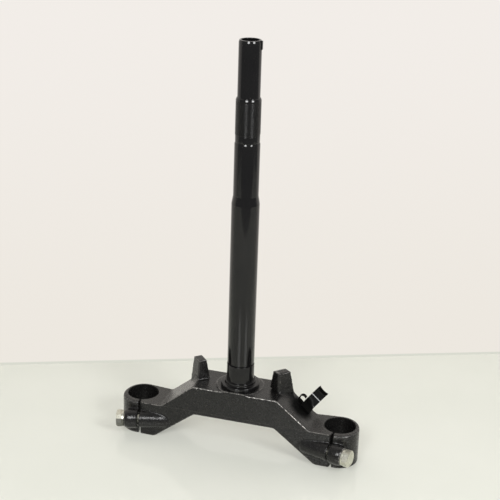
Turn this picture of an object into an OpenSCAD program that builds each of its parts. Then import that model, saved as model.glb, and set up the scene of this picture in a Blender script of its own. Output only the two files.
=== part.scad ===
// Lower fork yoke of a light motorcycle, with its steering stem, seat ring, hose guide and pinch bolts.
// X runs along the yoke, -Y faces forward, Z follows the steering axis.
// The origin lies on that axis, on the shoulder that carries the lower bearing.

/* [Steering stem] */
// Diameter of the stem's root, pressed into the yoke and the seat ring
root_d = 29.4; // [29:0.1:31]
// Diameter of the seat of the lower bearing
seat_d = 28.6; // [28.4:0.1:28.8]
// Diameter of the stem between that seat and the taper
stem_d = 28.2; // [26:0.1:28.3]
// Diameter of the plain length above the taper, where the upper bearing sits
upper_d = 25.4; // [25.2:0.1:25.9]
// Outer diameter of the fine thread for the bearing lock nuts
thread_d = 25; // [24.4:0.1:25.2]
// Diameter of the relief groove below the thread
relief_d = 23.8; // [23:0.1:24.2]
// Diameter of the handlebar seat at the top
top_d = 22.2; // [21:0.1:22.8]
// Wall of the tube below the taper
stem_wall = 3.2; // [2.5:0.1:4.5]
// Wall of the tube at the handlebar seat
top_wall = 2.4; // [1.8:0.1:3]
// Length from the yoke's upper face to the taper
main_len = 202; // [150:1:260]
// Length of the taper
taper_len = 8.4; // [5:0.2:14]
// Length of the plain part above the taper
upper_len = 54.8; // [40:0.2:70]
// Length of the relief groove below the thread
relief_len = 6.4; // [3:0.2:9]
// Length of the thread
thread_len = 37.2; // [25:0.2:50]
// Length of the handlebar seat
top_len = 55; // [40:1:70]
// Chamfer on the stem's edges
stem_chamfer = 1.2; // [0.6:0.1:1.6]
// Height of the fine groove above the bearing shoulder
groove_z = 18.6; // [12:0.2:26]
// Width of that groove
groove_w = 1; // [0.6:0.1:2]
// Depth of that groove
groove_depth = 0.5; // [0.3:0.1:0.9]

/* [Locating key on the handlebar seat] */
// Length of the key
key_l = 9; // [6:0.5:14]
// Width of the key
key_w = 3; // [2:0.2:5]
// How far the key stands proud of the seat
key_rise = 1; // [0.6:0.1:1.6]
// Distance of the key from the top of the stem
key_drop = 2.6; // [1.8:0.2:6]

/* [Seat ring] */
// Diameter of the ring's flange
flange_d = 40.8; // [37:0.2:44]
// Height of the flange
flange_h = 4; // [2.5:0.1:6]
// Diameter of the shoulder under the bearing
shoulder_d = 33; // [31.5:0.1:35]
// Height of the shoulder above the flange
shoulder_h = 3; // [2:0.1:5]
// Chamfer on the flange
ring_chamfer = 0.6; // [0.3:0.1:1]

/* [Bridge] */
// Half length of the flat upper face
deck_half = 45.5; // [40:0.5:52]
// Height of the bridge under the flat upper face
bridge_h = 32.4; // [26:0.2:38]
// Half length of the flat under the bridge
arch_half = 43.7; // [38:0.5:50]
// Distance of the front wall from the steering axis
bridge_front = 22.5; // [19.5:0.5:25]
// Distance of the rear wall from the steering axis
bridge_back = 22.5; // [20:0.5:25]
// Distance of the arm's rear wall from the steering axis
arm_back = 17; // [14:0.5:20]
// Distance of the arm's rear wall from the steering axis where it meets the clamp
arm_end_back = 19; // [16:0.5:20]
// Horizontal run of each sloping upper face
slope_run = 35.3; // [30:0.5:42]
// Horizontal run of each sloping lower face
under_run = 44.2; // [38:0.5:50]
// Radius on the corners of the outlines
corner_r = 6; // [3:0.5:9]
// Diameter of the turned face round the stem
collar_d = 49.8; // [46:0.2:54]
// Rise of the turned face
collar_rise = 0.8; // [0.4:0.1:2]
// Rounding on the upper rim of the fork clamps
rim_round = 2.4; // [1:0.2:3]
// Rounding on their lower rim
foot_round = 1; // [0.6:0.1:1.6]

/* [Fork clamps] */
// Diameter of the fork tubes and of the clamp bores
fork_d = 33; // [31:0.5:35]
// Distance between the two bores
fork_spacing = 218.4; // [208:0.2:236]
// Bore axis behind the steering axis
fork_offset = 0.9; // [-1:0.1:4]
// Height of the clamps
clamp_h = 38; // [34:0.5:42]
// Drop from the flat upper face to the top of the clamps
clamp_drop = 28.5; // [24:0.5:33]
// Wall of a clamp at its side
clamp_wall = 3.8; // [3:0.1:5]
// Wall added at the front of a clamp, where the bolt bosses join
front_wall = 3; // [2:0.1:4]
// How much rounder the front of a clamp is than its bore and wall
front_swell = 0.5; // [0.2:0.1:1]
// Width of the saw slit
slit_w = 2; // [1.4:0.1:3]
// Turn of the slit from straight ahead, towards the stem
slit_turn = 10; // [6:1:16]

/* [Pinch bolts] */
// Nominal diameter of the bolts
bolt_d = 10; // [8:1:11]
// Radial clearance of the bolt in the outer ear
bolt_clear = 0.5; // [0.2:0.1:0.8]
// Metal left between the bolt and the fork bore
bolt_web = 4; // [3:0.1:5]
// Height of the bolts above the foot of the clamps
bolt_z = 19.2; // [16:0.2:22]
// Turn of the bolts from the length of the yoke, towards the front
bolt_turn = 16; // [10:1:22]
// Diameter of the inner boss
boss_d = 19; // [17:0.5:22]
// Diameter of the outer ear
ear_d = 21; // [19:0.5:23]
// Diameter of the outer ear's face under the washer
ear_face_d = 18; // [17.5:0.5:19]
// Length over which the ear rounds off to that face
ear_taper = 4; // [2:0.5:6]
// Thickness of the outer ear along the bolt
ear_t = 15.6; // [13:0.2:19]
// Length of the inner boss along the bolt, up to its round end
boss_l = 27; // [25.5:0.5:30]
// Length of the bolt under its head
bolt_l = 38; // [34:1:42]
// Depth of the threaded hole in the inner boss
tap_depth = 24; // [22:0.5:25]
// Width of the bolt's head across its flats
head_af = 16; // [15:0.5:17]
// Height of the bolt's head
head_h = 6.4; // [5:0.1:8]
// Chamfer on the bolt's head and end
bolt_chamfer = 1; // [0.6:0.1:1.4]
// Outer diameter of the spring washer
washer_d = 17.2; // [15.5:0.1:18]
// Thickness of the spring washer
washer_t = 2.2; // [1.5:0.1:3]
// Gap in the spring washer
washer_gap = 1.4; // [0.8:0.1:2.5]

/* [Stop lugs] */
// Height of the lugs above the flat upper face
lug_h = 22; // [16:0.5:28]
// Length of the lug at its top
lug_top_l = 13.5; // [10:0.5:16]
// Width of the lug at its top
lug_top_w = 9; // [7:0.5:11]
// Length of the lug at its root
lug_root_l = 20; // [17:0.5:24]
// Width of the lug at its root
lug_root_w = 16; // [14:0.5:20]
// Turn of the lugs from the length of the yoke
lug_turn = 48; // [40:1:56]
// Distance of the lugs from the steering axis, along the yoke
lug_x = 45.4; // [42:0.5:48]
// Distance of the lugs from the steering axis, backwards
lug_y = 6.5; // [4:0.5:8]
// Lean of the lug's top towards its front corner
lug_lean = 2.2; // [1:0.1:3]

/* [Hose guide] */
// Width of the bent strip
guide_w = 12.5; // [10:0.5:14]
// Thickness of the strip
guide_t = 1.8; // [1.2:0.1:2.4]
// Length of the foot welded to the arm
guide_foot = 16; // [12:0.5:18]
// Length of the tongue's straight parts together
guide_tongue = 9; // [7:0.5:13]
// Distance of the guide down the slope, from the edge of the flat face
guide_run = 32.5; // [30:0.5:34]
// Distance of the tongue behind the steering axis
guide_y = 18.5; // [15:0.5:19]
// Turn of the guide on the arm
guide_turn = 6; // [2:1:12]
// Bend from the foot up into the tongue
foot_turn = 60; // [50:1:72]
// Bend in the middle of the tongue
middle_turn = 15; // [8:1:20]
// Bend below the tongue's tip
tip_turn = 20; // [12:1:28]
// Length of the strip in a sharp bend
bend_run = 5; // [4:0.5:6]
// Width of the small keeper beside the tongue
keeper_w = 5; // [3:0.5:7]
// Height of the keeper's straight part
keeper_h = 1.5; // [0.5:0.5:4]
// Bend of the keeper away from the arm
keeper_turn = 50; // [40:1:60]
// Curl of the keeper's end
curl_turn = 125; // [100:1:135]
// Depth of the hollow in the tongue's tip
tip_hollow = 0.9; // [0.4:0.1:1.5]

/* [Hidden] */
$fn = 96;
black_cast = [0.09, 0.09, 0.095];
black_gloss = [0.05, 0.05, 0.055];
zinc = [0.76, 0.76, 0.72];

head_r = head_af / sqrt(3);
fork_x = fork_spacing / 2;
fork_r = fork_d / 2;
clamp_r = fork_r + clamp_wall;
clamp_foot = -clamp_drop - clamp_h;
ring_h = flange_h + shoulder_h;
// The bearing shoulder is the origin, and this is its height over the flat upper face.
shoulder_z = collar_rise + ring_h;
slope_angle = atan(clamp_drop / slope_run);
bolt_r = bolt_d / 2;
bolt_reach = fork_r + bolt_web + bolt_r;
// A cut starts and ends this far outside the metal.
over = 1;
// Height of the slabs that the shape of a lug spans.
slab = 0.1;
// The arms end inside the clamps, this far short of the bore axis.
arm_bite = 4;

function unit(v) = v / norm(v);
function turn_of(v) = atan2(v[1], v[0]);
function wrap(a) = a > 180 ? a - 360 : a < -180 ? a + 360 : a;
// Points of the arc that rounds the corner p between its neighbours a and b.
function corner_arc(p, a, b, r, steps) =
    let (u = unit(a - p), w = unit(b - p), half = acos(u * w) / 2,
         centre = p + unit(u + w) * r / sin(half),
         from = turn_of(p + u * r / tan(half) - centre),
         sweep = wrap(turn_of(p + w * r / tan(half) - centre) - from))
    [for (i = [0 : steps]) centre + r * [cos(from + sweep * i / steps), sin(from + sweep * i / steps)]];
// An outline whose points each carry the radius of their corner: [x, y, r].
function rounded(points, steps = 6) =
    let (n = len(points))
    [for (i = [0 : n - 1])
        let (p = points[i], a = points[(i + n - 1) % n], b = points[(i + 1) % n])
        each p[2] > 0
            ? corner_arc([p[0], p[1]], [a[0], a[1]], [b[0], b[1]], p[2], steps)
            : [[p[0], p[1]]]];
function mirrored(points) =
    concat(points, [for (i = [len(points) - 1 : -1 : 0]) [-points[i][0], points[i][1], points[i][2]]]);

// Everything is drawn from the flat upper face and shifted so that the bearing shoulder is the origin.
module in_frame() translate([0, 0, -shoulder_z]) children();
module both_sides() {
    children();
    mirror([1, 0, 0]) children();
}
module at_bore() translate([fork_x, fork_offset, 0]) children();
// The frame of a pinch bolt: X points out of the head, and the origin lies in the slit.
module at_bolt()
    at_bore()
        translate([-bolt_reach * sin(slit_turn), -bolt_reach * cos(slit_turn), clamp_foot + bolt_z])
            rotate([0, 0, -bolt_turn])
                children();
module along_x(d, from, to) translate([from, 0, 0]) rotate([0, 90, 0]) cylinder(d = d, h = to - from);

// Front elevation of the bridge and both arms.
module elevation()
    rotate([90, 0, 0])
        linear_extrude(height = 2 * (bolt_reach + ear_d), center = true)
            polygon(rounded(mirrored([
                [arch_half, -bridge_h, corner_r],
                [arch_half + under_run, clamp_foot, corner_r],
                [fork_x, clamp_foot, 0],
                [fork_x, -clamp_drop, 0],
                [deck_half + slope_run, -clamp_drop, corner_r],
                [deck_half, 0, corner_r]])));
// Plan of the bridge and both arms.
module plan()
    translate([0, 0, clamp_foot])
        linear_extrude(height = -clamp_foot)
            polygon(rounded(mirrored([
                [fork_x - arm_bite, -bridge_front, 0],
                [fork_x - arm_bite, arm_end_back, 0],
                [fork_x - clamp_r / 2, arm_end_back, 0],
                [deck_half + slope_run, arm_back, 3 * corner_r],
                [deck_half + corner_r * 2, arm_back, 2 * corner_r],
                [deck_half, bridge_back, corner_r]])));
module rimmed(r)
    rotate_extrude()
        polygon(rounded([[0, 0, 0], [r, 0, foot_round], [r, clamp_h, rim_round], [0, clamp_h, 0]]));
module clamp_body()
    at_bore() translate([0, 0, clamp_foot]) {
        rimmed(clamp_r);
        translate([0, front_swell - front_wall, 0]) rimmed(clamp_r + front_swell);
    }
// The space on one side of the slit: 1 is the outer side, -1 the inner.
module beside_slit(side)
    at_bore()
        rotate([0, 0, -slit_turn])
            translate([side > 0 ? 0 : -fork_x, -fork_x / 2, clamp_foot])
                cube([fork_x, fork_x, clamp_h]);
module bolt_bosses() {
    intersection() {
        at_bolt() {
            along_x(boss_d, -boss_l, boss_d / 2);
            translate([-boss_l, 0, 0]) sphere(d = boss_d);
        }
        elevation();
        beside_slit(-1);
    }
    intersection() {
        at_bolt()
            rotate([0, 90, 0])
                rotate_extrude()
                    polygon(rounded([
                        [0, -ear_d / 2, 0],
                        [ear_d / 2, -ear_d / 2, 0],
                        [ear_d / 2, ear_t - ear_taper, 2 * ear_taper],
                        [ear_face_d / 2, ear_t, (ear_face_d - washer_d) / 2],
                        [0, ear_t, 0]]));
        beside_slit(1);
    }
}
module clamp_cuts() {
    at_bore() {
        translate([0, 0, clamp_foot - over]) cylinder(r = fork_r, h = clamp_h + 2 * over);
        rotate([0, 0, -slit_turn])
            translate([-slit_w / 2, -2 * bolt_reach, clamp_foot - over])
                cube([slit_w, 2 * bolt_reach, clamp_h + 2 * over]);
    }
    at_bolt() {
        along_x(bolt_d, -tap_depth, 0);
        along_x(bolt_d + 2 * bolt_clear, 0, ear_t + over);
    }
}
module stop_lug()
    translate([lug_x, lug_y, 0])
        rotate([0, 0, lug_turn])
            hull() {
                translate([0, 0, -clamp_drop / 3]) cube([lug_root_l, lug_root_w, slab], center = true);
                translate([-lug_lean, -lug_lean, lug_h - slab / 2])
                    cube([lug_top_l, lug_top_w, slab], center = true);
            }
module lower_yoke()
    color(black_cast) in_frame()
        difference() {
            union() {
                intersection() {
                    elevation();
                    plan();
                }
                intersection() {
                    translate([0, 0, -bridge_h]) cylinder(d = collar_d, h = bridge_h + collar_rise);
                    translate([-collar_d / 2, -bridge_front, -bridge_h])
                        cube([collar_d, bridge_front + collar_d / 2, bridge_h + collar_rise]);
                }
                both_sides() {
                    clamp_body();
                    bolt_bosses();
                    stop_lug();
                }
            }
            translate([0, 0, -bridge_h - over]) cylinder(d = root_d, h = bridge_h + collar_rise + 2 * over);
            both_sides() clamp_cuts();
        }

// Heights on the stem, from the flat upper face.
taper_z = main_len;
upper_z = taper_z + taper_len;
relief_z = upper_z + upper_len;
thread_z = relief_z + relief_len;
seat_z = thread_z + thread_len;
top_z = seat_z + top_len;
groove_at = shoulder_z + groove_z;

module steering_stem()
    color(black_gloss) in_frame() {
        rotate_extrude()
            polygon([
                [stem_d / 2 - stem_wall, -bridge_h],
                [root_d / 2, -bridge_h],
                [root_d / 2, shoulder_z],
                [seat_d / 2, shoulder_z],
                [seat_d / 2, groove_at],
                [seat_d / 2 - groove_depth, groove_at + groove_w / 3],
                [seat_d / 2 - groove_depth, groove_at + groove_w * 2 / 3],
                [stem_d / 2, groove_at + groove_w],
                [stem_d / 2, taper_z],
                [upper_d / 2, upper_z],
                [upper_d / 2, relief_z - (upper_d - relief_d) / 2],
                [relief_d / 2, relief_z],
                [relief_d / 2, thread_z - (thread_d - relief_d) / 2],
                [thread_d / 2, thread_z],
                [thread_d / 2, seat_z - (thread_d - top_d) / 2],
                [top_d / 2, seat_z],
                [top_d / 2, top_z - stem_chamfer],
                [top_d / 2 - stem_chamfer, top_z],
                [top_d / 2 - top_wall, top_z],
                [top_d / 2 - top_wall, upper_z],
                [stem_d / 2 - stem_wall, taper_z]]);
        intersection() {
            translate([0, -key_w / 2, top_z - key_drop - key_l]) cube([top_d, key_w, key_l]);
            difference() {
                cylinder(d = top_d + 2 * key_rise, h = top_z);
                translate([0, 0, -over]) cylinder(d = top_d - top_wall, h = top_z + 2 * over);
            }
        }
    }

module seat_ring()
    color(black_gloss) in_frame()
        rotate_extrude()
            polygon([
                [root_d / 2, collar_rise],
                [flange_d / 2, collar_rise],
                [flange_d / 2, collar_rise + flange_h - ring_chamfer],
                [flange_d / 2 - ring_chamfer, collar_rise + flange_h],
                [shoulder_d / 2, collar_rise + flange_h],
                [shoulder_d / 2, shoulder_z],
                [root_d / 2, shoulder_z]]);

// A strip bent from [length, turn] steps. Its start lies at p with heading h, and turns are to the left.
bend_steps = 6;
function bent_line(steps, p, h, i = 0) =
    i == len(steps) ? [[p, h]] :
    let (piece = steps[i], cuts = piece[1] == 0 ? 1 : bend_steps, turn = piece[1] / cuts,
         stretch = [for (k = 0, q = p, a = h; k < cuts;
                         q = q + piece[0] / cuts * [cos(a + turn / 2), sin(a + turn / 2)],
                         a = a + turn, k = k + 1) [q, a]],
         last = stretch[len(stretch) - 1],
         end = last[0] + piece[0] / cuts * [cos(last[1] + turn / 2), sin(last[1] + turn / 2)])
    concat(stretch, bent_line(steps, end, last[1] + turn, i + 1));
module bent_strip(steps, p, h, t, w) {
    line = bent_line(steps, p, h);
    side = function (s) [for (q = line) q[0] + s * t / 2 * [-sin(q[1]), cos(q[1])]];
    right = side(-1);
    left = side(1);
    linear_extrude(height = w, center = true)
        polygon(concat(right, [for (i = [len(left) - 1 : -1 : 0]) left[i]]));
}
// The frame of the hose guide on the right arm: X runs down the slope, Z stands off it.
module at_guide()
    translate([deck_half, guide_y, 0])
        rotate([0, slope_angle, 0])
            translate([guide_run, 0, 0])
                rotate([0, 0, -guide_turn])
                    children();
// The tongue rises from the rear end of the foot in three bends.
tongue_bends = [
    [guide_foot - bend_run / 2, 0], [bend_run, foot_turn], [guide_tongue / 3, 0], [bend_run, middle_turn],
    [guide_tongue / 3, 0], [bend_run, tip_turn], [guide_tongue / 3, 0]];
// The keeper starts backwards and bends away from the arm.
backwards = 180;
keeper_bends = [[3 * guide_t, 0], [bend_run / 2, -keeper_turn], [keeper_h, 0], [bend_run, -curl_turn]];
tongue_line = bent_line(tongue_bends, [-guide_foot, guide_t / 2], 0);
tongue_end = tongue_line[len(tongue_line) - 1];
tip_r = guide_w * guide_w / 8 / tip_hollow;
module hose_guide()
    color(black_gloss) in_frame() at_guide() {
        difference() {
            rotate([90, 0, 90]) bent_strip(tongue_bends, [-guide_foot, guide_t / 2], 0, guide_t, guide_w);
            translate([0, tongue_end[0][0], tongue_end[0][1]])
                rotate([tongue_end[1] - 90, 0, 0])
                    translate([0, 0, tip_r - tip_hollow])
                        rotate([90, 0, 0])
                            cylinder(r = tip_r, h = 3 * guide_t, center = true);
        }
        translate([-guide_w / 2 + guide_t, -guide_foot / 2, 0])
            rotate([90, 0, 0])
                bent_strip(keeper_bends, [guide_t, guide_t / 2], backwards, guide_t, keeper_w);
    }

module clamp_bolt()
    color(zinc) at_bolt() translate([ear_t + washer_t, 0, 0]) rotate([0, 90, 0]) {
        intersection() {
            cylinder(r = head_r, h = head_h, $fn = 6);
            rotate_extrude()
                polygon([
                    [0, 0],
                    [head_r, 0],
                    [head_r, head_h - bolt_chamfer],
                    [(head_af - bolt_chamfer) / 2, head_h],
                    [0, head_h]]);
        }
        rotate_extrude()
            polygon([
                [0, -bolt_l],
                [bolt_r - bolt_chamfer, -bolt_l],
                [bolt_r, bolt_chamfer - bolt_l],
                [bolt_r, 0],
                [0, 0]]);
    }
module spring_washer()
    color(zinc) at_bolt() translate([ear_t, 0, 0]) rotate([0, 90, 0])
        difference() {
            cylinder(d = washer_d, h = washer_t);
            translate([0, 0, -over]) cylinder(r = bolt_r + bolt_clear / 2, h = washer_t + 2 * over);
            translate([0, -washer_gap / 2, -over]) cube([washer_d, washer_gap, washer_t + 2 * over]);
        }
module clamp_bolt_right() in_frame() clamp_bolt();
module clamp_bolt_left() in_frame() mirror([1, 0, 0]) clamp_bolt();
module spring_washer_right() in_frame() spring_washer();
module spring_washer_left() in_frame() mirror([1, 0, 0]) spring_washer();

lower_yoke();
steering_stem();
seat_ring();
hose_guide();
clamp_bolt_left();
clamp_bolt_right();
spring_washer_left();
spring_washer_right();
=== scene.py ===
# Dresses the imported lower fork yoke, with its stem, seat ring, hose guide and pinch bolts.
# Lengths are written in millimetres and become metres in the meshes. Z = 0 is the bearing shoulder.
import math

import bmesh
import bpy
import numpy as np
from mathutils import Matrix, Vector, kdtree


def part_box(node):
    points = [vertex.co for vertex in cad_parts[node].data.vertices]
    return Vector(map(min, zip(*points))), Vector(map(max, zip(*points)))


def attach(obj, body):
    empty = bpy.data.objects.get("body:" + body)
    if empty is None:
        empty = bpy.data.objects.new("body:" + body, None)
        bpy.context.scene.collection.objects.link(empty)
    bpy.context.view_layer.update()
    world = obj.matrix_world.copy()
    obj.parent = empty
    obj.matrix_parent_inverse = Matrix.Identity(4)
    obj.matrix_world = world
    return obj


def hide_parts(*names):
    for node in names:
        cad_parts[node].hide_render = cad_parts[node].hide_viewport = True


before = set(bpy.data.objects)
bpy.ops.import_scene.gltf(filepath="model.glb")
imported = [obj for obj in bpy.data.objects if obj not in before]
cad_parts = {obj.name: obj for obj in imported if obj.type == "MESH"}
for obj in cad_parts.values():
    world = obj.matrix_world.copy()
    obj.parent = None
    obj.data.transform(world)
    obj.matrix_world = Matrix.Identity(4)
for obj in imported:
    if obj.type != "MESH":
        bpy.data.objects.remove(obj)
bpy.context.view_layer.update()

# The camera stands well back, a little to the right of the stem and above it.
# It is turned slightly about its own line of sight, as it was held. Its place is in metres.
yaw, pitch, roll = (math.radians(angle) for angle in (15.67, 21.142, 1.849))
towards = Vector((math.sin(yaw) * math.cos(pitch), -math.cos(yaw) * math.cos(pitch), math.sin(pitch)))
level = Vector((math.cos(yaw), math.sin(yaw), 0))
upright = towards.cross(level)
across = math.cos(roll) * level + math.sin(roll) * upright
upward = math.cos(roll) * upright - math.sin(roll) * level
camera_lens, camera_away, camera_right, camera_up, aim_height = 80.538, 1.179173, 0.010429, 0.14188, -0.0078
camera = bpy.data.objects.new("camera", bpy.data.cameras.new("camera"))
camera.data.lens = camera_lens
camera.data.clip_end = 50
camera.matrix_world = Matrix.Translation(
    camera_away * towards + camera_right * across + camera_up * upward + Vector((0, 0, aim_height))
) @ Matrix((across, upward, towards)).transposed().to_4x4()
bpy.context.collection.objects.link(camera)
scene = bpy.context.scene
scene.camera = camera
scene.view_settings.view_transform = "Standard"


# The table is a pale, slightly greenish board with a glossy face and a rounded edge.
# It ends 19 cm behind the stem, in front of a warm white wall.
class Wire:
    """An output of a finish's node tree. Sums and products on it add the nodes that work them out."""

    def __init__(self, socket):
        self.socket = socket

    def node(self, kind, settings=None, inputs=None, out=0):
        tree = self.socket.id_data
        made = tree.nodes.new(kind)
        for name, value in (settings or {}).items():
            setattr(made, name, value)
        for key, value in (inputs or {}).items():
            if isinstance(value, Wire):
                tree.links.new(value.socket, made.inputs[key])
            else:
                made.inputs[key].default_value = value
        return Wire(made.outputs[out])

    def math(self, operation, *values):
        return self.node("ShaderNodeMath", {"operation": operation}, dict(enumerate(values)))

    def __add__(self, other):
        return self.math("ADD", self, other)

    __radd__ = __add__

    def __sub__(self, other):
        return self.math("SUBTRACT", self, other)

    def __rsub__(self, other):
        return self.math("SUBTRACT", other, self)

    def __mul__(self, other):
        return self.math("MULTIPLY", self, other)

    __rmul__ = __mul__

    def step(self, low, high):
        """0 below low, 1 above high, and a smooth rise between them."""
        return self.node(
            "ShaderNodeMapRange", {"interpolation_type": "SMOOTHSTEP"}, {0: self, 1: low, 2: high})

    def axis(self, number):
        """One coordinate of a place in metres, with 0 for x, 1 for y and 2 for z."""
        return self.node("ShaderNodeSeparateXYZ", {}, {0: self}, number)

    def distance(self, spot):
        """How far a place lies from a spot, in metres."""
        return self.node("ShaderNodeVectorMath", {"operation": "DISTANCE"}, {0: self, 1: spot}, 1)

    def grain(self, size, detail=2.0, roughness=0.5):
        """Noise whose features are about this many millimetres across. The wire holds the place."""
        return self.node("ShaderNodeTexNoise", {}, {
            "Vector": self, "Scale": 1000 / size, "Detail": detail, "Roughness": roughness})

    def tint(self, first, second):
        """Blends two colours. The wire is the share of the second."""
        return self.node("ShaderNodeMix", {"data_type": "RGBA"}, {
            0: self, 6: (*first, 1) if isinstance(first, tuple) else first,
            7: (*second, 1) if isinstance(second, tuple) else second}, 2)

    def bump(self, height, strength=1.0, under=None):
        """A normal raised by the wire, whose full range is this many millimetres."""
        inputs = {"Height": self, "Distance": height / 1000, "Strength": strength}
        if under is not None:
            inputs["Normal"] = under
        return self.node("ShaderNodeBump", {}, inputs)

    def feed(self, target):
        self.socket.id_data.links.new(self.socket, target)


def finish(name, **constants):
    """A new material. Returns it, its shader node and the place on the piece."""
    material = bpy.data.materials.new(name)
    material.use_nodes = True
    shader = material.node_tree.nodes["Principled BSDF"]
    for key, value in constants.items():
        socket = shader.inputs[key.replace("_", " ")]
        socket.default_value = (*value, 1) if isinstance(value, tuple) else value
    place = Wire(material.node_tree.nodes.new("ShaderNodeTexCoord").outputs["Object"])
    return material, shader, place


def piece(name, mesh, material):
    """Puts a finished mesh into the scene, smoothly shaded but for its sharp edges."""
    made = bpy.data.objects.new(name, mesh)
    mesh.materials.clear()
    mesh.materials.append(material)
    mesh.shade_smooth()
    mesh.set_sharp_from_angle(angle=math.radians(40))
    bpy.context.collection.objects.link(made)
    return made


def mesh_of(name, work):
    """The mesh of a body made in bmesh, whose working copy is then freed."""
    mesh = bpy.data.meshes.new(name)
    work.to_mesh(mesh)
    work.free()
    return mesh


table_turn = math.radians(22.56)
table_back, table_front, table_side, table_thick, table_round = 191.5, -650, 1100, 30, 2.5
table_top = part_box("lower_yoke")[0].z
board = bmesh.new()
bmesh.ops.create_cube(board, size=1)
for corner in board.verts:
    corner.co = Vector((
        corner.co.x * 2 * table_side,
        table_front if corner.co.y < 0 else table_back,
        0 if corner.co.z > 0 else -table_thick)) / 1000
bmesh.ops.bevel(board, geom=board.edges[:], offset=table_round / 1000, segments=4, affect="EDGES")
bmesh.ops.rotate(board, verts=board.verts, matrix=Matrix.Rotation(table_turn, 3, "Z"))
bmesh.ops.translate(board, verts=board.verts, vec=(0, 0, table_top))
table_mesh = mesh_of("table", board)
table_finish, shader, place = finish("pale_board", Roughness=0.11, IOR=1.62)
pale = place.grain(90).step(0.3, 0.7).tint((0.73, 0.74, 0.67), (0.745, 0.753, 0.685))
pale.feed(shader.inputs["Base Color"])


def self_lit(material, colour, share):
    """Shows this share of a backdrop's colour as it is written, to the eye and in the gloss of the part."""
    made = colour.node("ShaderNodeLightPath").socket.node.outputs
    seen = Wire(made["Is Camera Ray"])
    for kind in ("Is Glossy Ray", "Is Transmission Ray"):
        seen = seen.math("MAXIMUM", seen, Wire(made[kind]))
    glow = colour.node("ShaderNodeEmission", {}, {0: colour, 1: 1.0})
    lit = Wire(material.node_tree.nodes["Principled BSDF"].outputs[0])
    face = colour.node("ShaderNodeMixShader", {}, {0: seen * share, 1: lit, 2: glow})
    face.feed(material.node_tree.nodes["Material Output"].inputs["Surface"])


self_lit(table_finish, pale, 0.34)
table = piece("table", table_mesh, table_finish)

# The wall stands close behind the table's far edge.
# It is matt, warm white, and a little darker towards the table, with a painted shade for the gap below the
# table's top.
wall_gap, wall_half, wall_low, wall_high = 4, 2500, -600, 1800
sheet = bmesh.new()
corners = [sheet.verts.new((x / 1000, (table_back + wall_gap) / 1000, z / 1000)) for x, z in (
    (-wall_half, wall_low), (wall_half, wall_low), (wall_half, wall_high), (-wall_half, wall_high))]
sheet.faces.new(corners)
bmesh.ops.rotate(sheet, verts=sheet.verts, matrix=Matrix.Rotation(table_turn, 3, "Z"))
wall_mesh = mesh_of("wall", sheet)
wall_finish, shader, place = finish("wall_white", Roughness=0.9)
height = place.axis(2)
white = height.step(-0.1, 0.4).tint((0.845, 0.805, 0.742), (0.89, 0.85, 0.81))
# Painted shade: below the table's top the wall turns grey, for the shadowed gap behind the table.
white = height.step(table_top - 0.001, table_top + 0.0005).tint((0.69, 0.70, 0.62), white)
white.feed(shader.inputs["Base Color"])
self_lit(wall_finish, white, 1)
wall = piece("wall", wall_mesh, wall_finish)

# Two round lamps stand behind the camera and above it, one a little to its left and one well to its right.
# The room adds an even light. Turns and rise are in degrees, lengths in metres.
lamp_turns, lamp_rise, lamp_away, lamp_wide, lamp_watts = {"left": -17.5, "right": 40.5}, 34, 1.7, 0.55, 15
room_grey = 0.32
for side, turn in lamp_turns.items():
    turn, rise = math.radians(turn), math.radians(lamp_rise)
    out = Vector((towards.x, towards.y, 0)).normalized()
    way = math.cos(rise) * (math.cos(turn) * out + math.sin(turn) * level) + Vector((0, 0, math.sin(rise)))
    lamp = bpy.data.objects.new("lamp_" + side, bpy.data.lights.new("lamp_" + side, "AREA"))
    lamp.data.shape, lamp.data.size, lamp.data.energy = "DISK", lamp_wide, lamp_watts
    lamp.matrix_world = Matrix.Translation(lamp_away * way) @ way.to_track_quat("Z", "Y").to_matrix().to_4x4()
    bpy.context.collection.objects.link(lamp)
scene.world = bpy.data.worlds.new("room")
scene.world.use_nodes = True
scene.world.node_tree.nodes["Background"].inputs["Color"].default_value = (room_grey, room_grey, room_grey, 1)


# The yoke is one casting in black paint: a bridge, two arms that drop to the fork clamps, and two stop lugs.
# Its edges are rounded by the mould and by blasting. The bores, slits and turned face were cut afterwards.
def softened(node, voxel, passes, budget, plugs=()):
    """A copy of a solid with its edges rounded, and for each point how far the rounding moved it outwards."""
    solid = bmesh.new()
    solid.from_mesh(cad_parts[node].data)
    bmesh.ops.remove_doubles(solid, verts=solid.verts, dist=1e-6)
    for radius, (x, y), low, high in plugs:
        bmesh.ops.create_cone(
            solid, cap_ends=True, segments=96, radius1=radius / 1000, radius2=radius / 1000,
            depth=(high - low) / 1000, matrix=Matrix.Translation((x / 1000, y / 1000, (low + high) / 2000)))
    made = bpy.data.objects.new(node + "_rough", mesh_of(node + "_rough", solid))
    bpy.context.collection.objects.link(made)
    remesh = made.modifiers.new("voxels", "REMESH")
    remesh.mode, remesh.voxel_size = "VOXEL", voxel / 1000
    dense = applied(made)
    count = len(dense.vertices)
    co = np.empty(count * 3)
    dense.vertices.foreach_get("co", co)
    co = co.reshape(-1, 3)
    ends = np.empty(len(dense.edges) * 2, int)
    dense.edges.foreach_get("vertices", ends)
    first, second = ends.reshape(-1, 2).T
    start = co.copy()
    degree = np.bincount(first, minlength=count) + np.bincount(second, minlength=count)
    for _ in range(passes):
        total = np.stack([
            np.bincount(first, co[second, axis], count) + np.bincount(second, co[first, axis], count)
            for axis in range(3)], 1)
        co += 0.5 * (total / degree[:, None] - co)
    dense.vertices.foreach_set("co", co.ravel())
    dense.update()
    normal = np.empty(count * 3)
    dense.vertices.foreach_get("normal", normal)
    moved = ((co - start) * normal.reshape(-1, 3)).sum(1) * 1000
    made.data = dense
    faces = sum(len(face.vertices) - 2 for face in dense.polygons)
    if faces > budget:
        thin = made.modifiers.new("thin", "DECIMATE")
        thin.ratio = budget / faces
        made.data = applied(made)
    return made, co, moved


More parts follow.
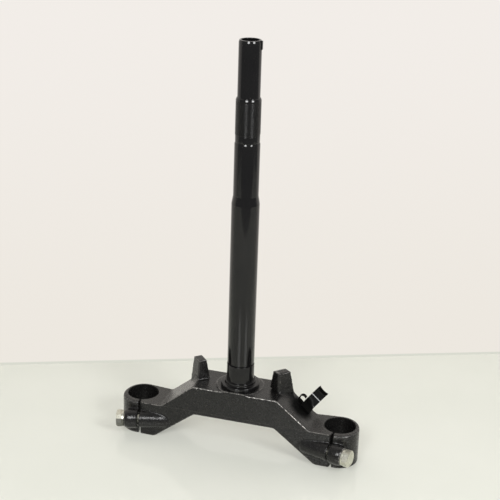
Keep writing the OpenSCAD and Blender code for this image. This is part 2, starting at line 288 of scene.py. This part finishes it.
def applied(made):
    """The plain mesh that an object's modifiers give. The modifiers are removed."""
    result = bpy.data.meshes.new_from_object(made.evaluated_get(bpy.context.evaluated_depsgraph_get()))
    made.modifiers.clear()
    return result


def turned(name, profile, steps=96, centre=(0, 0), close=True):
    """A turned body from points (radius, height), from the lowest on the axis to the highest."""
    lathe = bmesh.new()
    rings = []
    for radius, height in profile:
        if radius == 0:
            rings.append([lathe.verts.new((0, 0, height))])
        else:
            rings.append([
                lathe.verts.new((radius * math.cos(a), radius * math.sin(a), height))
                for a in (2 * math.pi * step / steps for step in range(steps))])
    loop = list(zip(rings, rings[1:] + rings[:1])) if close else list(zip(rings, rings[1:]))
    for low, high in loop:
        for step in range(steps):
            ahead = (step + 1) % steps
            corners = [low[step % len(low)], low[ahead % len(low)],
                       high[ahead % len(high)], high[step % len(high)]]
            corners = [v for i, v in enumerate(corners) if v not in corners[:i]]
            if len(corners) > 2:
                lathe.faces.new(corners)
    bmesh.ops.recalc_face_normals(lathe, faces=lathe.faces)
    bmesh.ops.scale(lathe, verts=lathe.verts, vec=(0.001,) * 3)
    bmesh.ops.translate(lathe, verts=lathe.verts, vec=(centre[0] / 1000, centre[1] / 1000, 0))
    return mesh_of(name, lathe)


def cut(made, operation, *meshes):
    """Cuts other closed meshes out of an object, or joins them to it, one after the other."""
    for mesh in meshes:
        tool = bpy.data.objects.new("tool", mesh)
        bpy.context.collection.objects.link(tool)
        tool_work = made.modifiers.new("work", "BOOLEAN")
        tool_work.operation, tool_work.solver, tool_work.object = operation, "MANIFOLD", tool
        made.data = applied(made)
        bpy.data.objects.remove(tool)


deck, bridge_foot, clamp_top, clamp_foot = -7.8, -40.2, -36.3, -74.3
bore_x, bore_y, bore_r, mouth = 109.2, 0.9, 16.5, 0.5
slit_width, slit_turn, slit_length = 2, 10, 60
collar_r, collar_rise, collar_edge, root_r, bridge_front = 24.9, 0.8, 0.25, 14.7, 22.2
collar_foot, stem_hole_top = deck - 10, deck + 3
lug_inner, lug_extra, lug_blend, lug_rim_low, lug_rim_high = 24, 0.14, 2, 12.2, 13.2
yoke_voxel, yoke_passes, yoke_triangles, plug_margin = 0.7, 5, 150000, 1.2
past = 2  # how far a cutter reaches past the face that it cuts

yoke, dense_co, dense_moved = softened(
    "lower_yoke", yoke_voxel, yoke_passes, yoke_triangles,
    [(bore_r + plug_margin, (side * bore_x, bore_y), clamp_foot, clamp_top) for side in (-1, 1)])
# The right lug is cast a little fuller towards the stem than the left one.
points = yoke.data.vertices
spot = np.empty(len(points) * 3)
points.foreach_get("co", spot)
spot = spot.reshape(-1, 3)
lug = (spot[:, 2] > deck / 1000) & (spot[:, 0] > lug_inner / 1000)
reach = spot[lug] @ np.array(level)
rise = np.clip((spot[lug, 2] - deck / 1000) / (lug_blend / 1000), 0, 1)
spot[lug] -= np.outer((reach.max() - reach) * lug_extra * rise, np.array(level))
points.foreach_set("co", spot.ravel())
collar = turned("collar", [
    (0, collar_foot), (collar_r, collar_foot), (collar_r, deck + collar_rise - collar_edge),
    (collar_r - collar_edge, deck + collar_rise), (0, deck + collar_rise)], close=False)
trim = bmesh.new()
trim.from_mesh(collar)
bmesh.ops.bisect_plane(
    trim, geom=trim.verts[:] + trim.edges[:] + trim.faces[:],
    plane_co=(0, -bridge_front / 1000, 0), plane_no=(0, -1, 0), clear_outer=True)
bmesh.ops.holes_fill(trim, edges=trim.edges[:])
trim.to_mesh(collar)
trim.free()
cut(yoke, "UNION", collar)
bores = [turned("bore", [
    (0, clamp_foot - past), (bore_r + past + mouth, clamp_foot - past), (bore_r, clamp_foot + mouth),
    (bore_r, clamp_top - mouth), (bore_r + past + mouth, clamp_top + past), (0, clamp_top + past)],
    steps=128, centre=(side * bore_x, bore_y), close=False) for side in (-1, 1)]
slits = []
for side in (-1, 1):
    blade = bmesh.new()
    bmesh.ops.create_cube(blade, size=1)
    for corner in blade.verts:
        corner.co = Vector((
            corner.co.x * slit_width, corner.co.y * slit_length - slit_length / 2,
            clamp_top + past if corner.co.z > 0 else clamp_foot - past)) / 1000
    bmesh.ops.rotate(
        blade, verts=blade.verts, matrix=Matrix.Rotation(math.radians(-side * slit_turn), 3, "Z"))
    bmesh.ops.translate(blade, verts=blade.verts, vec=(side * bore_x / 1000, bore_y / 1000, 0))
    slits.append(mesh_of("slit", blade))
stem_hole = turned("stem_hole", [
    (0, bridge_foot - past), (root_r, bridge_foot - past), (root_r, stem_hole_top), (0, stem_hole_top)],
    close=False)
cut(yoke, "DIFFERENCE", *bores, *slits, stem_hole)

finder = kdtree.KDTree(len(dense_co))
for number, point in enumerate(dense_co):
    finder.insert(point, number)
finder.balance()
yoke_mesh = yoke.data
bpy.data.objects.remove(yoke)
rounding = yoke_mesh.attributes.new("rounding", "FLOAT", "POINT")
rounding.data.foreach_set("value", [dense_moved[finder.find(v.co)[1]] for v in yoke_mesh.vertices])

cast_black, shader, place = finish("cast_black", IOR=1.42)
rounding = Wire(shader.id_data.nodes.new("ShaderNodeAttribute").outputs["Fac"])
rounding.socket.node.attribute_name = "rounding"
ridge = (rounding * -1).step(0.04, 0.22)
mottle = place.grain(14, 4, 0.6)
sand = place.grain(1.3, 3, 0.65)
lumps = place.grain(4.5, 3, 0.6)
x, y, z = (place.axis(number) for number in range(3))
slit = math.radians(slit_turn)
off_slit = (x.math("ABSOLUTE", x) - bore_x / 1000) * math.cos(slit) - (y - bore_y / 1000) * math.sin(slit)
clear_of_slit = off_slit.math("ABSOLUTE", off_slit).step(0.002, 0.0035)
lug_rim = z.step(lug_rim_low / 1000, lug_rim_high / 1000)
lug_flank = z.step((deck + 1) / 1000, (deck + 2) / 1000) * (1 - lug_rim * 0.3)
# Bare metal shows on worn edges, and the same mask is also a painted highlight: the lamps' glint along the
# rounded top edges, kept off the slits and most lug flanks.
edge_wear_and_highlight = ridge * place.grain(2.2, 3, 0.65).step(0.35, 0.57) * clear_of_slit * (1 - lug_flank * 0.85)
# Painted shade: near the hose guide's foot the arm's paint turns black and dull, for the guide's shadow and its
# dark mirror image on the slope.
guide_shade_centre = (0.067, 0.002, -0.0225)
painted_shade_by_guide = 1 - (place.distance(guide_shade_centre) + mottle * 0.006).step(0.011, 0.023)
paint = mottle.step(0.3, 0.7).tint((0.004, 0.004, 0.004), (0.009, 0.0085, 0.008))
paint = sand.step(0.3, 0.75).tint(paint, (0.011, 0.0105, 0.01))
machined = z.step((clamp_top - 0.25) / 1000, (clamp_top - 0.1) / 1000)
machined = machined * (1 - z.step((clamp_top + 0.3) / 1000, (clamp_top + 0.8) / 1000))
paint = machined.tint(paint, (0.021, 0.0195, 0.018))
painted_shade_by_guide.tint(edge_wear_and_highlight.tint(paint, (0.34, 0.33, 0.31)), (0.001, 0.001, 0.001)).feed(shader.inputs["Base Color"])
(edge_wear_and_highlight * (1 - painted_shade_by_guide) * 0.9 + painted_shade_by_guide * 0.85).feed(shader.inputs["Metallic"])
grit = place.grain(2.4, 4, 0.7)
dullness = 0.07 + mottle * 0.08 + grit.step(0.4, 0.62) * 0.2 + painted_shade_by_guide * 0.65 + machined * 0.12
dullness.feed(shader.inputs["Roughness"])
sand.bump(0.2, 0.8, lumps.bump(0.35, 0.5, grit.bump(0.1, 0.8))).feed(shader.inputs["Normal"])
yoke = piece("yoke_casting", yoke_mesh, cast_black)
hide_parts("lower_yoke")
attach(yoke, "root")


# The stem is a drawn steel tube, turned down in steps and pressed up through the yoke from below.
# Over its lower seat runs a fine groove, and over the upper seat a relief and a fine thread.
# It is painted gloss black, and the thread is duller.
def eased(profile, radius, steps=3):
    """Rounds the corners of a turned profile by a radius, or by less where its points lie close."""
    out = []
    count = len(profile)
    for number, (x, z) in enumerate(profile):
        back, ahead = profile[number - 1], profile[(number + 1) % count]
        here = Vector((x, z))
        before, after = Vector(back) - here, Vector(ahead) - here
        reach = min(radius, before.length * 0.45, after.length * 0.45)
        start, end = here + before.normalized() * reach, here + after.normalized() * reach
        if x == 0 or before.normalized().dot(after.normalized()) < -0.999:
            out.append((x, z))
            continue
        for step in range(steps + 1):
            share = step / steps
            out.append(tuple(start * (1 - share) ** 2 + here * 2 * share * (1 - share) + end * share ** 2))
    return out


stem_top, seat_foot, thread_foot, relief_foot, upper_foot, taper_foot = 356, 301, 263.8, 257.4, 202.6, 194.2
groove, groove_depth, stem_edge, relief_in, thread_in, top_in = 18.6, 1.5, 0.3, 0.66, 0.7, 0.64
seat_r, stem_r, upper_r, relief_r, thread_core, thread_r, top_r = 14.3, 14.1, 12.7, 12.2, 11.95, 12.5, 11.1
bore_low, bore_top = 10.9, 8.7
stem_profile = eased([
    (bore_low, bridge_foot), (root_r, bridge_foot), (root_r, 0), (seat_r, 0), (seat_r, groove),
    (seat_r - groove_depth, groove + 0.1), (seat_r - groove_depth, groove + 1), (stem_r, groove + 1.1),
    (stem_r, taper_foot), (upper_r, upper_foot), (upper_r, relief_foot - 2),
    (upper_r - relief_in, relief_foot - 0.3), (relief_r, relief_foot), (relief_r, thread_foot - 0.2),
    (thread_core, thread_foot), (thread_core, seat_foot - 3.4), (thread_r, seat_foot - 3.3),
    (thread_r, seat_foot - 2.4), (thread_r - thread_in, seat_foot - 0.4), (top_r, seat_foot),
    (top_r, stem_top - 2.2), (top_r - top_in, stem_top - 0.1), (top_r - 0.8, stem_top),
    (bore_top + 0.2, stem_top), (bore_top, stem_top - 0.3), (bore_top, upper_foot),
    (bore_low, taper_foot)], stem_edge)
stem_mesh = turned("steering_stem", stem_profile, 160)

key_length, key_width, key_foot, key_r, key_root, key_edge = 8.6, 3, 347.2, 12.1, top_r - 0.6, 0.4
key = bmesh.new()
bmesh.ops.create_cube(key, size=1)
for corner in key.verts:
    corner.co = Vector((
        key_r if corner.co.x > 0 else key_root, corner.co.y * key_width,
        key_foot + (corner.co.z + 0.5) * key_length)) / 1000
bmesh.ops.bevel(key, geom=key.edges[:], offset=key_edge / 1000, segments=2, affect="EDGES")
key_mesh = mesh_of("key", key)


def ridges(name, radius, depth, pitch, low, high, material):
    """A screw thread as one round ridge, wound up around the stem by a node tree."""
    tree = bpy.data.node_groups.new(name, "GeometryNodeTree")
    for label, kind in (
            ("Radius", "NodeSocketFloat"), ("Depth", "NodeSocketFloat"), ("Turns", "NodeSocketFloat"),
            ("Height", "NodeSocketFloat"), ("Foot", "NodeSocketFloat"), ("Finish", "NodeSocketMaterial")):
        tree.interface.new_socket(label, in_out="INPUT", socket_type=kind)
    tree.interface.new_socket("Thread", in_out="OUTPUT", socket_type="NodeSocketGeometry")
    start, end = tree.nodes.new("NodeGroupInput"), tree.nodes.new("NodeGroupOutput")

    def add(kind, *links):
        made = tree.nodes.new(kind)
        for source, target in links:
            if hasattr(source, "links"):
                tree.links.new(source, made.inputs[target])
            else:
                made.inputs[target].default_value = source
        return made

    coil = add("GeometryNodeCurveSpiral", (64, "Resolution"), (start.outputs["Turns"], "Rotations"),
               (start.outputs["Radius"], "Start Radius"), (start.outputs["Radius"], "End Radius"),
               (start.outputs["Height"], "Height"))
    upright_coil = add("GeometryNodeSetCurveNormal", (coil.outputs[0], "Curve"))
    upright_coil.mode = "Z_UP"
    ridge_section = add("GeometryNodeCurvePrimitiveCircle", (12, "Resolution"),
                        (start.outputs["Depth"], "Radius"))
    rolled = add("GeometryNodeCurveToMesh", (upright_coil.outputs[0], "Curve"),
                 (ridge_section.outputs[0], "Profile Curve"), (True, "Fill Caps"))
    raised = add("ShaderNodeCombineXYZ", (start.outputs["Foot"], "Z"))
    placed = add("GeometryNodeTransform", (rolled.outputs[0], "Geometry"), (raised.outputs[0], "Translation"))
    real = add("GeometryNodeRealizeInstances", (placed.outputs[0], "Geometry"))
    painted = add("GeometryNodeSetMaterial", (real.outputs[0], "Geometry"),
                  (start.outputs["Finish"], "Material"))
    tree.links.new(painted.outputs[0], end.inputs[0])
    made = bpy.data.objects.new(name, bpy.data.meshes.new(name))
    bpy.context.collection.objects.link(made)
    work = made.modifiers.new("thread", "NODES")
    work.node_group = tree
    values = {"Radius": (radius - depth) / 1000, "Depth": depth / 1000, "Turns": (high - low) / pitch,
              "Height": (high - low) / 1000, "Foot": low / 1000, "Finish": material}
    for item in tree.interface.items_tree:
        if item.in_out == "INPUT":
            work[item.identifier] = values[item.name]
    mesh = applied(made)
    bpy.data.objects.remove(made)
    return mesh


stem_black, shader, place = finish("stem_black", IOR=1.41)
cloud = place.grain(30, 3)
cloud.step(0.3, 0.7).tint((0.0042, 0.004, 0.0043), (0.0062, 0.006, 0.006)).feed(shader.inputs["Base Color"])
thread_start, thread_end = (0.2635, 0.264), (0.2975, 0.298)
level_z = place.axis(2)
threaded = level_z.step(*thread_start) * (1 - level_z.step(*thread_end))
(0.08 + cloud * 0.05 + threaded * 0.14).feed(shader.inputs["Roughness"])
place.grain(2.5, 2).bump(0.02, 0.4).feed(shader.inputs["Normal"])
thread_depth, thread_pitch = 0.5, 1
thread_mesh = ridges(
    "stem_thread", thread_r, thread_depth, thread_pitch, thread_foot + 0.6, seat_foot - 3.5, stem_black)
stem = piece("stem", stem_mesh, stem_black)
key = piece("stem_key", key_mesh, stem_black)
thread = piece("stem_thread", thread_mesh, stem_black)
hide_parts("steering_stem")
for made in (stem, key, thread):
    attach(made, "root")


# The seat ring is a turned collar that the lower bearing rests on, pushed down the stem onto the yoke.
# Its flange and its shoulder have broken edges, which catch the lamps.
flange_r, flange_top, flange_edge, shoulder_r, ring_bore = 20.4, -3, 0.6, 16.5, root_r + 0.02
ring_mesh = turned("seat_ring", eased([
    (ring_bore, deck + collar_rise), (flange_r, deck + collar_rise), (flange_r, flange_top - flange_edge),
    (flange_r - flange_edge, flange_top), (shoulder_r, flange_top), (shoulder_r, 0), (ring_bore, 0)],
    flange_edge), 128)
ring = piece("bearing_seat_ring", ring_mesh, stem_black)
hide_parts("seat_ring")
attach(ring, "root")


# The hose guide is a steel strip, bent up into a tongue with a hollow tip, and a small curled keeper beside it.
# It is welded to the right arm and painted with it. Around its foot the strip and the arm are black and dull,
# as painted shade.
def bent(name, steps, start, heading, thick, wide, hollow=0.0):
    """A strip bent in a plane by steps of (length, turn), with its width across it and its tip hollowed."""
    at, stations = Vector(start), []
    for length, bend in steps:
        cuts = 8 if bend else 2
        for _ in range(cuts):
            stations.append((at.copy(), heading, 0))
            half = math.radians(heading + bend / cuts / 2)
            at += length / cuts * Vector((math.cos(half), math.sin(half)))
            heading += bend / cuts
    stations.append((at.copy(), heading, hollow))
    strip = bmesh.new()
    columns = 10
    rows = []
    for (x, z), turn, short in stations:
        turn = math.radians(turn)
        along, off = Vector((math.cos(turn), math.sin(turn))), Vector((-math.sin(turn), math.cos(turn)))
        row = []
        for column in range(columns + 1):
            share = 2 * column / columns - 1
            back = Vector((x, z)) - along * short * (1 - share * share)
            row.append([strip.verts.new(Vector((flat.x, share * wide / 2, flat.y)) / 1000)
                        for flat in (back - off * thick / 2, back + off * thick / 2)])
        rows.append(row)
    for near, far in zip(rows, rows[1:]):
        for column in range(columns):
            for face, order in ((0, 1), (1, -1)):
                strip.faces.new([near[column][face], near[column + 1][face],
                                 far[column + 1][face], far[column][face]][::order])
        for column, order in ((0, 1), (columns, -1)):
            strip.faces.new([near[column][0], far[column][0], far[column][1], near[column][1]][::order])
    for row in (rows[0], rows[-1]):
        for column in range(columns):
            strip.faces.new([row[column][0], row[column + 1][0], row[column + 1][1], row[column][1]])
    bmesh.ops.recalc_face_normals(strip, faces=strip.faces)
    sharp = [edge for edge in strip.edges if edge.calc_face_angle(0) > math.radians(50)]
    bmesh.ops.bevel(strip, geom=sharp, offset=strip_edge / 1000, segments=2, affect="EDGES")
    return mesh_of(name, strip)


deck_half, slope = 45.5, math.atan(28.5 / 35.3)
guide_run, guide_y, guide_turn, guide_foot = 32.8, 19.5, 5.8, 16
strip_t, strip_w, strip_edge, tip_hollow = 1.8, 12.2, 0.35, 1.1
keeper_t, keeper_w, keeper_start = 1.2, 4.5, (-6.8, 0.8)
tongue_steps = [
    (guide_foot - 2.5, 0), (4, 66), (4.9, 0), (2.5, -22), (2.5, 25), (2.9, 0), (4, 24), (3.4, 0)]
keeper_steps = [(4, 0), (2.5, -75), (2, 0), (8.5, -145)]
tongue_mesh = bent("tongue", tongue_steps, (-guide_foot, strip_t / 2), 0, strip_t, strip_w, tip_hollow)
tongue_mesh.transform(Matrix.Rotation(math.radians(90), 4, "Z"))
keeper_mesh = bent("keeper", keeper_steps, keeper_start, 180, keeper_t, keeper_w)
keeper_mesh.transform(Matrix.Translation((0, -guide_foot / 2000, 0)))
strip = bmesh.new()
strip.from_mesh(tongue_mesh)
strip.from_mesh(keeper_mesh)
guide_mesh = mesh_of("guide", strip)
guide_mesh.transform(
    Matrix.Translation((deck_half / 1000, guide_y / 1000, deck / 1000)) @ Matrix.Rotation(slope, 4, "Y")
    @ Matrix.Translation((guide_run / 1000, 0, 0)) @ Matrix.Rotation(math.radians(-guide_turn), 4, "Z"))
guide_black, shader, place = finish("guide_black", IOR=1.4)
cloud = place.grain(9, 3)
cloud.tint((0.002, 0.002, 0.002), (0.004, 0.004, 0.0035)).feed(shader.inputs["Base Color"])
# Painted shade: the strip's foot and fold are made black and dull, for the shade around its foot.
guide_foot_shade_centre = (0.0685, 0.0085, -0.0235)
painted_shade_on_guide_foot = 1 - place.distance(guide_foot_shade_centre).step(0.0115, 0.0145)
(painted_shade_on_guide_foot * 0.85).feed(shader.inputs["Metallic"])
(0.08 + cloud * 0.05 + painted_shade_on_guide_foot * 0.75).feed(shader.inputs["Roughness"])
place.grain(1.5, 2).bump(0.04, 0.5).feed(shader.inputs["Normal"])
guide = piece("hose_guide_strip", guide_mesh, guide_black)
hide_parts("hose_guide")
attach(guide, "root")


# Each fork clamp is closed by a zinc-plated hexagon bolt that passes through the outer ear.
# It screws into the inner boss, with a spring washer under its head.
bolt_z, bolt_turn, bolt_reach = -55.1, 16, 25.5
ear_t, head_h, head_af, shank_r, shank_l, shank_gap = 15.6, 5.8, 16, 5, 38, 0.6
washer_t, washer_r, washer_bore, washer_edge, washer_rise, washer_open = 2.6, 8.6, 5.3, 0.3, 0.25, 12
bolt_zinc, shader, place = finish("bolt_zinc", Metallic=1.0)
stain = place.grain(4, 4, 0.6)
speck = place.grain(1.6, 4, 0.7)
# Painted shade: the lower half of the left bolt and its washer is darkened, for the dark reflection of the
# shaded table below them.
painted_shade_low = 1 - place.axis(2).step((bolt_z + 2.6) / 1000, (bolt_z + 3.8) / 1000)
left_side = 1 - place.axis(0).step(-0.1, 0.1)
zinc = stain.step(0.35, 0.7).tint((0.76, 0.755, 0.66), (0.64, 0.63, 0.53))
zinc = (speck.step(0.36, 0.56) * 0.6 + 0.4).tint((0.4, 0.395, 0.33), zinc)
(painted_shade_low * left_side * 0.92).tint(zinc, (0.12, 0.12, 0.105)).feed(shader.inputs["Base Color"])
(0.27 + stain * 0.2).feed(shader.inputs["Roughness"])
speck.bump(0.04, 0.5).feed(shader.inputs["Normal"])


def on_bolt(mesh, side):
    """Takes a mesh from its own axis, which points out of the head, to the place of a pinch bolt."""
    slit = math.radians(slit_turn)
    stand = Matrix.Rotation(math.radians(90), 4, "Y")
    turn = Matrix.Rotation(math.radians(-bolt_turn), 4, "Z")
    shift = Matrix.Translation(Vector((
        bore_x - bolt_reach * math.sin(slit), bore_y - bolt_reach * math.cos(slit), bolt_z)) / 1000)
    mesh.transform(Matrix.Diagonal((side, 1, 1, 1)) @ shift @ turn @ stand)
    if side < 0:
        mesh.flip_normals()


head_turn = {"left": 9, "right": 0}
prism_length, head_edge, coil_steps = 100, 0.4, 64
for name, side in (("left", -1), ("right", 1)):
    corner_r = head_af / math.sqrt(3)
    under = ear_t + washer_t
    shank = turned("shank", eased([
        (0, under - shank_l), (shank_r - 1, under - shank_l), (shank_r - shank_gap, under - shank_l + 0.8),
        (shank_r - shank_gap, under), (corner_r + 1, under), (corner_r + 1, under + 0.3),
        (corner_r + 1, under + head_h - 2), (head_af / 2 - 0.4, under + head_h), (0, under + head_h)],
        0.5), 64, close=False)
    hexagon = bmesh.new()
    bmesh.ops.create_cone(
        hexagon, cap_ends=True, segments=6, radius1=corner_r / 1000, radius2=corner_r / 1000,
        depth=prism_length / 1000, matrix=Matrix.Rotation(math.radians(head_turn[name]), 4, "Z"))
    long_edges = [e for e in hexagon.edges if abs(e.verts[0].co.z - e.verts[1].co.z) > prism_length / 2000]
    bmesh.ops.bevel(hexagon, geom=long_edges, offset=head_edge / 1000, segments=2, affect="EDGES")
    bolt = bpy.data.objects.new("bolt_" + name, shank)
    bpy.context.collection.objects.link(bolt)
    cut(bolt, "INTERSECT", mesh_of("six", hexagon))
    bolt_mesh = bolt.data
    bpy.data.objects.remove(bolt)
    on_bolt(bolt_mesh, side)
    bolt = piece("pinch_bolt_" + name, bolt_mesh, bolt_zinc)
    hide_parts("clamp_bolt_" + name)
    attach(bolt, "root")

    coil = bmesh.new()
    sections = []
    for step in range(coil_steps + 1):
        share = step / coil_steps
        angle = math.radians(washer_open / 2 + (360 - washer_open) * share)
        lift = ear_t + washer_rise * share
        sections.append([coil.verts.new(Vector((
            radius * math.cos(angle), radius * math.sin(angle), height + lift)) / 1000)
            for radius, height in (
                (washer_bore, 0.1), (washer_bore + 0.2, 0), (washer_r - washer_edge, 0),
                (washer_r, washer_edge), (washer_r, washer_t - washer_rise - washer_edge),
                (washer_r - washer_edge, washer_t - washer_rise),
                (washer_bore + 0.2, washer_t - washer_rise), (washer_bore, washer_t - washer_rise - 0.1))])
    for low, high in zip(sections, sections[1:]):
        for corner in range(8):
            coil.faces.new((low[corner], low[(corner + 1) % 8], high[(corner + 1) % 8], high[corner]))
    coil.faces.new(sections[0][::-1])
    coil.faces.new(sections[-1])
    bmesh.ops.recalc_face_normals(coil, faces=coil.faces)
    washer_mesh = mesh_of("washer", coil)
    on_bolt(washer_mesh, side)
    washer = piece("split_washer_" + name, washer_mesh, bolt_zinc)
    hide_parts("spring_washer_" + name)
    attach(washer, "root")
